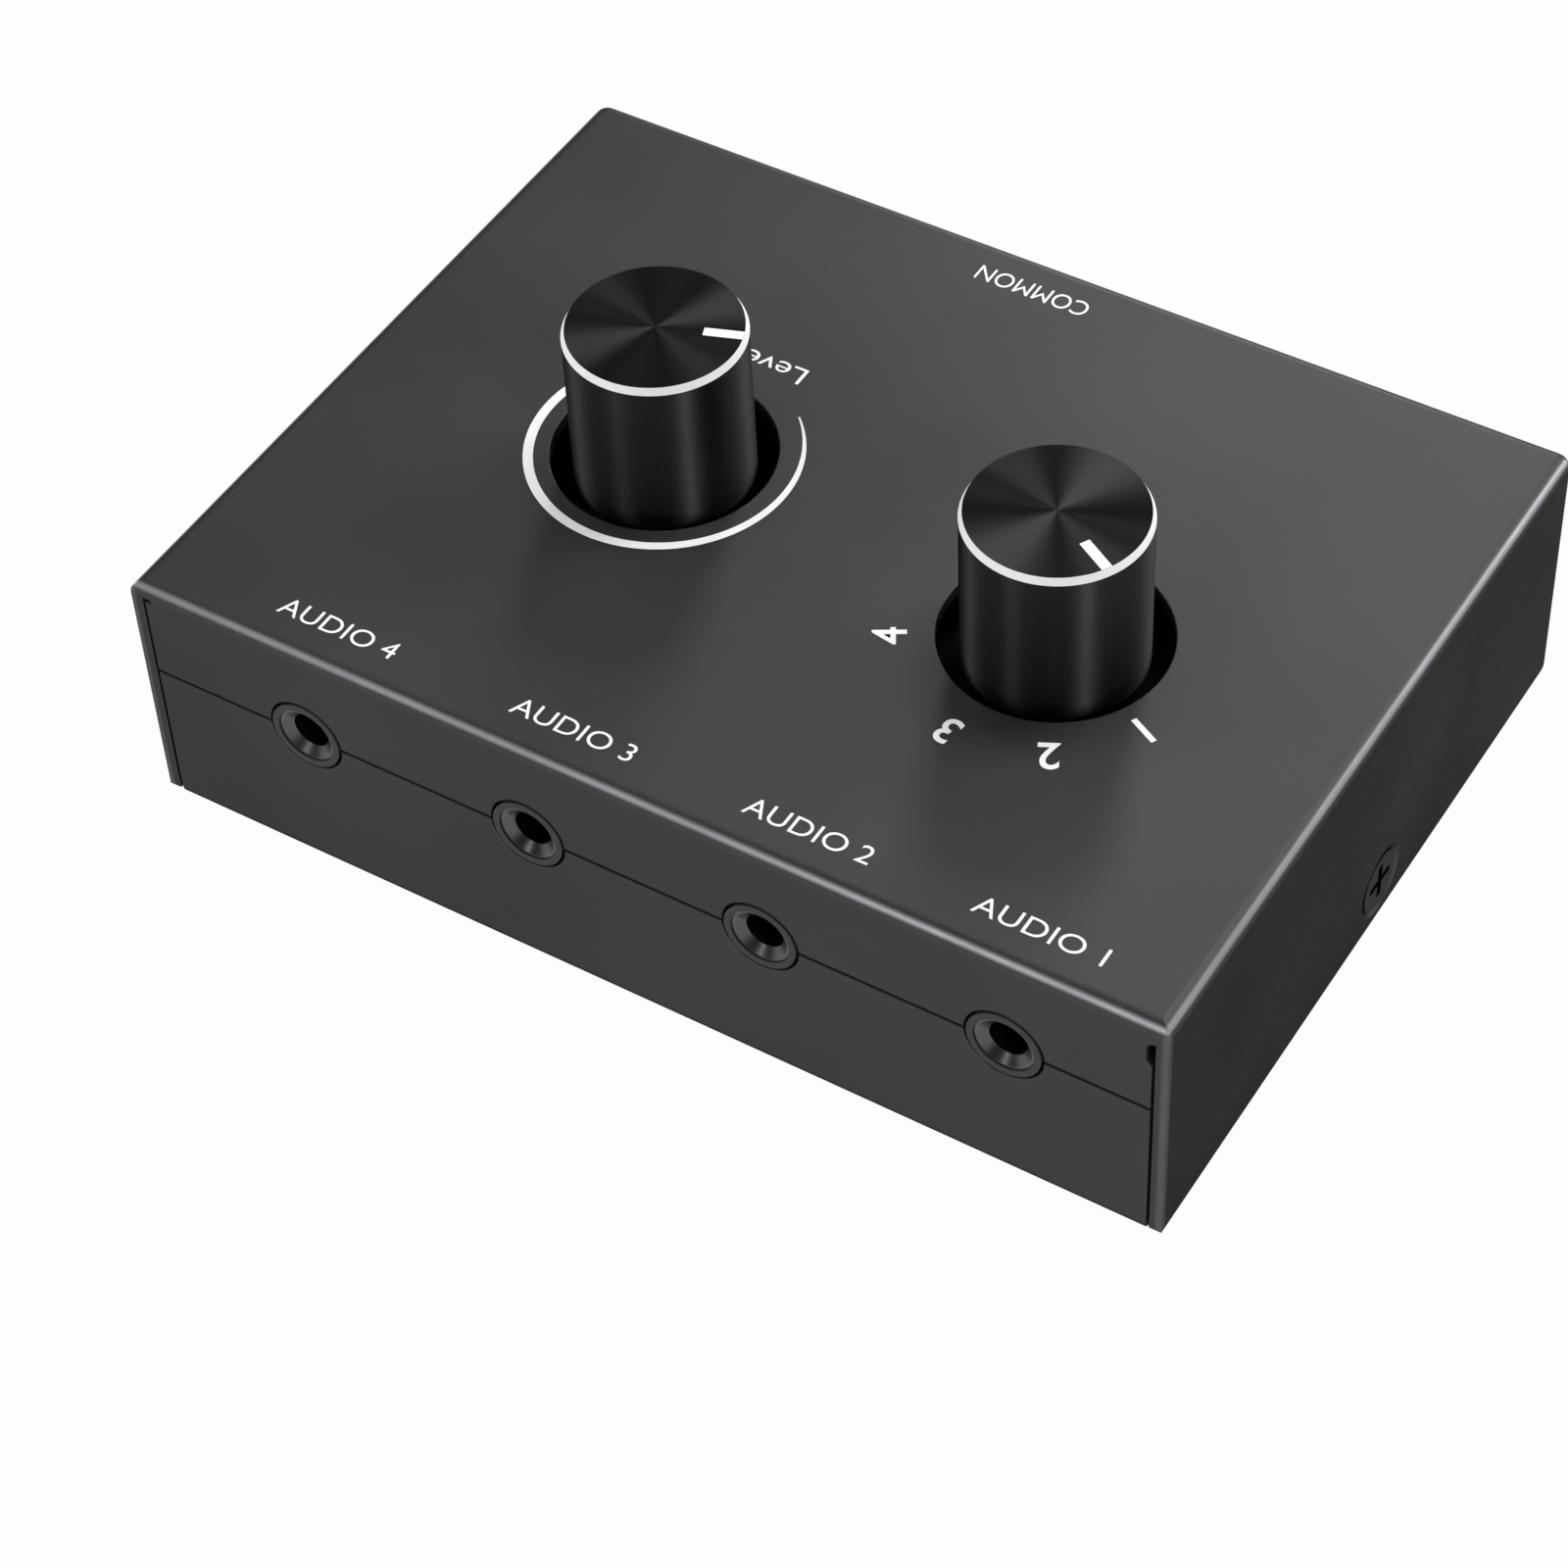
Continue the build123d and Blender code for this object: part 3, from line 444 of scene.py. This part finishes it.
# The sides take a paler copy of the knob's black than the top: painted light on the turned sides.
knob_side_lit_black = new_finish(
    "knob_side_lit_black", (0.053, 0.053, 0.055), roughness=0.46, grain_size=0.2,
    contrast=0.15, spread=0.04, relief=0.0, Anisotropic=0.95, **turned_look,
)
for turned in (knob_top_black, knob_side_lit_black):
    turned_tree = turned.node_tree
    round_way = turned_tree.nodes.new("ShaderNodeTangent")
    round_way.direction_type = "RADIAL"
    round_way.axis = "Z"
    turned_shader = turned_tree.nodes["Principled BSDF"]
    turned_tree.links.new(round_way.outputs["Tangent"], turned_shader.inputs["Tangent"])
coat(white_paint, "volume_pointer", "selector_pointer")


def turn_knob(name, x, y, body):
    """A knob shell with a rim, a ringed top and a bored underside."""
    bpy.ops.object.select_all(action="DESELECT")
    side_height = knob_head - rim_drop - knob_foot
    side_middle = (x, y, knob_foot + side_height / 2)
    bpy.ops.mesh.primitive_cylinder_add(
        vertices=knob_facets, radius=knob_radius, depth=side_height, location=side_middle
    )
    knob = bpy.context.object
    knob.name = name
    bpy.ops.object.transform_apply(location=True, rotation=True, scale=True)
    bpy.ops.object.mode_set(mode="EDIT")

    def pick(side):
        """Select the flat end on a side of the knob, the face there with the most corners."""
        shape = bmesh.from_edit_mesh(knob.data)
        facing = [face for face in shape.faces if face.normal.z * side > 0]
        flat_end = max(facing, key=lambda face: len(face.verts))
        for face in shape.faces:
            face.select_set(face == flat_end)
        shape.select_flush_mode()
        bmesh.update_edit_mesh(knob.data)

    bpy.ops.mesh.select_mode(type="FACE")
    pick(1)
    bpy.ops.mesh.extrude_region_move(TRANSFORM_OT_translate={"value": (0, 0, rim_drop)})
    narrow = (knob_radius - rim_inset) / knob_radius
    bpy.ops.transform.resize(value=(narrow, narrow, 1), center_override=(x, y, knob_head))
    for _ in range(groove_count):
        for step in (-groove_depth, groove_depth):
            bpy.ops.mesh.inset(thickness=groove_pitch / 2)
            bpy.ops.transform.translate(value=(0, 0, step))
    bpy.ops.mesh.merge(type="CENTER")
    pick(-1)
    bpy.ops.mesh.inset(thickness=knob_radius - core_radius)
    bore_depth = knob_head - crown - knob_foot
    bpy.ops.mesh.extrude_region_move(TRANSFORM_OT_translate={"value": (0, 0, bore_depth)})
    bpy.ops.mesh.select_all(action="SELECT")
    bpy.ops.mesh.normals_make_consistent(inside=False)
    bpy.ops.object.mode_set(mode="OBJECT")
    for material in (knob_side_lit_black, knob_top_black, white_paint):
        knob.data.materials.append(material)
    top_slot, rim_slot = 1, 2
    for face in knob.data.polygons:
        out = Vector((face.center.x - x, face.center.y - y)).length
        if face.center.z > knob_head - rim_drop:
            face.material_index = rim_slot if out > knob_radius - rim_inset else top_slot
    bpy.ops.object.shade_smooth_by_angle(angle=knob_smooth_angle)
    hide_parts(f"{body}_knob")
    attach(knob, f"{body}_turn")


turn_knob("volume_knob_shell", volume_x, volume_y, "volume")
turn_knob("selector_knob_shell", selector_x, selector_y, "selector")

# Circuit board: a laminate on four clinched standoffs, held by four plated screws, coloured
# near black as painted shade where it shows through the knob holes.
# All the jacks and controls are soldered to it.
board_laminate = new_finish(
    "board_laminate", (0.010, 0.012, 0.011), roughness=0.45, grain_size=0.5,
    contrast=0.3, spread=0.1, relief=0.01, Specular_IOR_Level=0.3,
)
plated_steel = new_finish(
    "plated_steel", (0.55, 0.55, 0.56), roughness=0.35, grain_size=0.4,
    contrast=0.15, spread=0.15, relief=0.004, Metallic=1.0,
)
coat(board_laminate, "circuit_board")
coat(plated_steel, "board_standoffs", "board_screws")

# Volume control: a sheet can, coloured black as painted shade where it shows through the
# knob's hole, with a nickel-plated bushing. Inside, a brass wiper on a moulded carrier runs
# over the track board, turned by an aluminium shaft.
# Black plastic for the inner mouldings and knob cores, made near black as painted shade where they show
# through the knob holes.
dark_plastic = new_finish(
    "dark_plastic", (0.005, 0.005, 0.0055), roughness=0.6, grain_size=0.3,
    contrast=0.2, spread=0.1, relief=0.006, Specular_IOR_Level=0.05,
)
bushing_brass = new_finish(
    "bushing_brass", (0.6, 0.6, 0.58), roughness=0.3, grain_size=0.4,
    contrast=0.15, spread=0.1, relief=0.003, Metallic=1.0,
)
tinned_brass = new_finish(
    "tinned_brass", (0.65, 0.65, 0.63), roughness=0.35, grain_size=0.3,
    contrast=0.2, spread=0.1, relief=0.003, Metallic=1.0,
)
shaft_aluminium = new_finish(
    "shaft_aluminium", (0.7, 0.7, 0.71), roughness=0.32, grain_size=0.25,
    contrast=0.12, spread=0.1, relief=0.003, Metallic=1.0,
)
# The can takes the screws' black oxide, as painted shade seen through the knob's hole.
coat(black_oxide, "volume_can")
coat(bushing_brass, "volume_bushing")
coat(dark_plastic, "volume_track_board", "volume_carrier", "volume_knob_core")
coat(tinned_brass, "volume_pins")
coat(spring_brass, "volume_wiper")
coat(shaft_aluminium, "volume_shaft")

# Selector: a moulded case with a bushing. A rotor carries two brass bridges over the
# contact board, and two sprung balls click into the notches of the detent ring.
# The selector's mouldings take the near-black plastic: painted shade in the selector's hole.
coat(dark_plastic, "selector_case", "selector_contact_board", "selector_rotor", "detent_ring")
coat(dark_plastic, "selector_knob_core")
coat(bushing_brass, "selector_bushing")
coat(tinned_brass, "selector_contacts", "selector_pins")
coat(spring_brass, "selector_bridges")
coat(plated_steel, "detent_balls", "detent_springs")
coat(shaft_aluminium, "selector_shaft")

# Studio: a pale floor that reads white to the camera and in reflections, low white walls
# and a dim ceiling that only reflections show, and more air light from the front and left.
# Soft boxes and upright strips stand round the box and draw the bands on the knobs.
floor_size = 12
floor_glow_share = 0.97
ceiling_glow = 0.05
wall_foot = 0.02
wall_top = 0.20
ambient = 0.32
air_from_right = -0.28
air_from_rear = -0.36
least_air = 0.05
light_distance = 0.9


def ray_kinds(tree):
    """Whether a ray is the camera's, and whether it is a glossy or a transmission ray."""
    path = tree.nodes.new("ShaderNodeLightPath")
    mirrored = math_node(tree, "MAXIMUM", path.outputs["Is Glossy Ray"], path.outputs["Is Transmission Ray"])
    return path.outputs["Is Camera Ray"], mirrored


floor_paper = bpy.data.materials.new("floor_paper")
floor_paper.use_nodes = True
floor_tree = floor_paper.node_tree
paper = floor_tree.nodes["Principled BSDF"]
paper.inputs["Base Color"].default_value = (0.55, 0.55, 0.545, 1)
paper.inputs["Roughness"].default_value = 0.9
glow = floor_tree.nodes.new("ShaderNodeEmission")
glow.inputs["Color"].default_value = (1, 1, 0.995, 1)
camera_ray, mirrored_ray = ray_kinds(floor_tree)
seen_directly = math_node(floor_tree, "MAXIMUM", camera_ray, mirrored_ray)
blend = floor_tree.nodes.new("ShaderNodeMixShader")
floor_tree.links.new(math_node(floor_tree, "MULTIPLY", seen_directly, floor_glow_share), blend.inputs["Fac"])
floor_tree.links.new(paper.outputs["BSDF"], blend.inputs[1])
floor_tree.links.new(glow.outputs["Emission"], blend.inputs[2])
floor_tree.links.new(blend.outputs["Shader"], floor_tree.nodes["Material Output"].inputs["Surface"])
bpy.ops.object.select_all(action="DESELECT")
bpy.ops.mesh.primitive_plane_add(size=floor_size, location=(0, 0, 0))
floor = bpy.context.object
floor.name = "studio_floor"
floor.data.materials.append(floor_paper)

world = bpy.data.worlds.new("studio_air")
bpy.context.scene.world = world
world.use_nodes = True
sky = world.node_tree
air = sky.nodes["Background"]
air.inputs["Color"].default_value = (1, 1, 1, 1)
way_out = sky.nodes.new("ShaderNodeTexCoord")
direction = sky.nodes.new("ShaderNodeSeparateXYZ")
sky.links.new(way_out.outputs["Generated"], direction.inputs[0])
wall = sky.nodes.new("ShaderNodeMapRange")
wall.interpolation_type = "SMOOTHSTEP"
sky.links.new(direction.outputs["Z"], wall.inputs["Value"])
wall.inputs["From Min"].default_value = wall_foot
wall.inputs["From Max"].default_value = wall_top
wall.inputs["To Min"].default_value = 1
wall.inputs["To Max"].default_value = ceiling_glow
camera_ray, mirrored_ray = ray_kinds(sky)
shown = math_node(sky, "MULTIPLY_ADD", mirrored_ray, wall.outputs["Result"], camera_ray)
other_rays = math_node(sky, "SUBTRACT", 1.0, math_node(sky, "ADD", camera_ray, mirrored_ray))
from_side = math_node(sky, "MULTIPLY_ADD", direction.outputs["X"], air_from_right, ambient)
from_front = math_node(sky, "MULTIPLY_ADD", direction.outputs["Y"], air_from_rear, from_side)
air_light = math_node(sky, "MAXIMUM", from_front, least_air)
sky.links.new(math_node(sky, "MULTIPLY_ADD", other_rays, air_light, shown), air.inputs["Strength"])


def add_light(name, azimuth, elevation, width, height, radiance):
    """A soft rectangular light that faces the box. Its azimuth runs from +X towards +Y."""
    turn = math.radians(azimuth)
    rise = math.radians(elevation)
    way = Vector((math.cos(turn) * math.cos(rise), math.sin(turn) * math.cos(rise), math.sin(rise)))
    bpy.ops.object.light_add(type="AREA", location=way * light_distance)
    light = bpy.context.object
    light.name = name
    light.data.shape = "RECTANGLE"
    light.data.size = width
    light.data.size_y = height
    light.data.energy = radiance * math.pi * width * height
    light.rotation_euler = (-way).to_track_quat("-Z", "Y").to_euler()


add_light("rear_low_strip", azimuth=108, elevation=26, width=0.16, height=0.45, radiance=13.5)
add_light("rear_high_softbox", azimuth=72, elevation=66, width=0.28, height=0.28, radiance=8.5)
add_light("rear_left_softbox", azimuth=145, elevation=67, width=0.26, height=0.26, radiance=2.0)
add_light("right_strip", azimuth=-29, elevation=28, width=0.07, height=0.5, radiance=20.0)
add_light("right_rear_softbox", azimuth=59, elevation=28, width=0.30, height=0.5, radiance=7.5)
add_light("front_strip", azimuth=-106, elevation=28, width=0.12, height=0.5, radiance=4.0)
add_light("left_strip", azimuth=-163, elevation=28, width=0.10, height=0.5, radiance=12.0)

bpy.context.scene.view_settings.view_transform = "Standard"
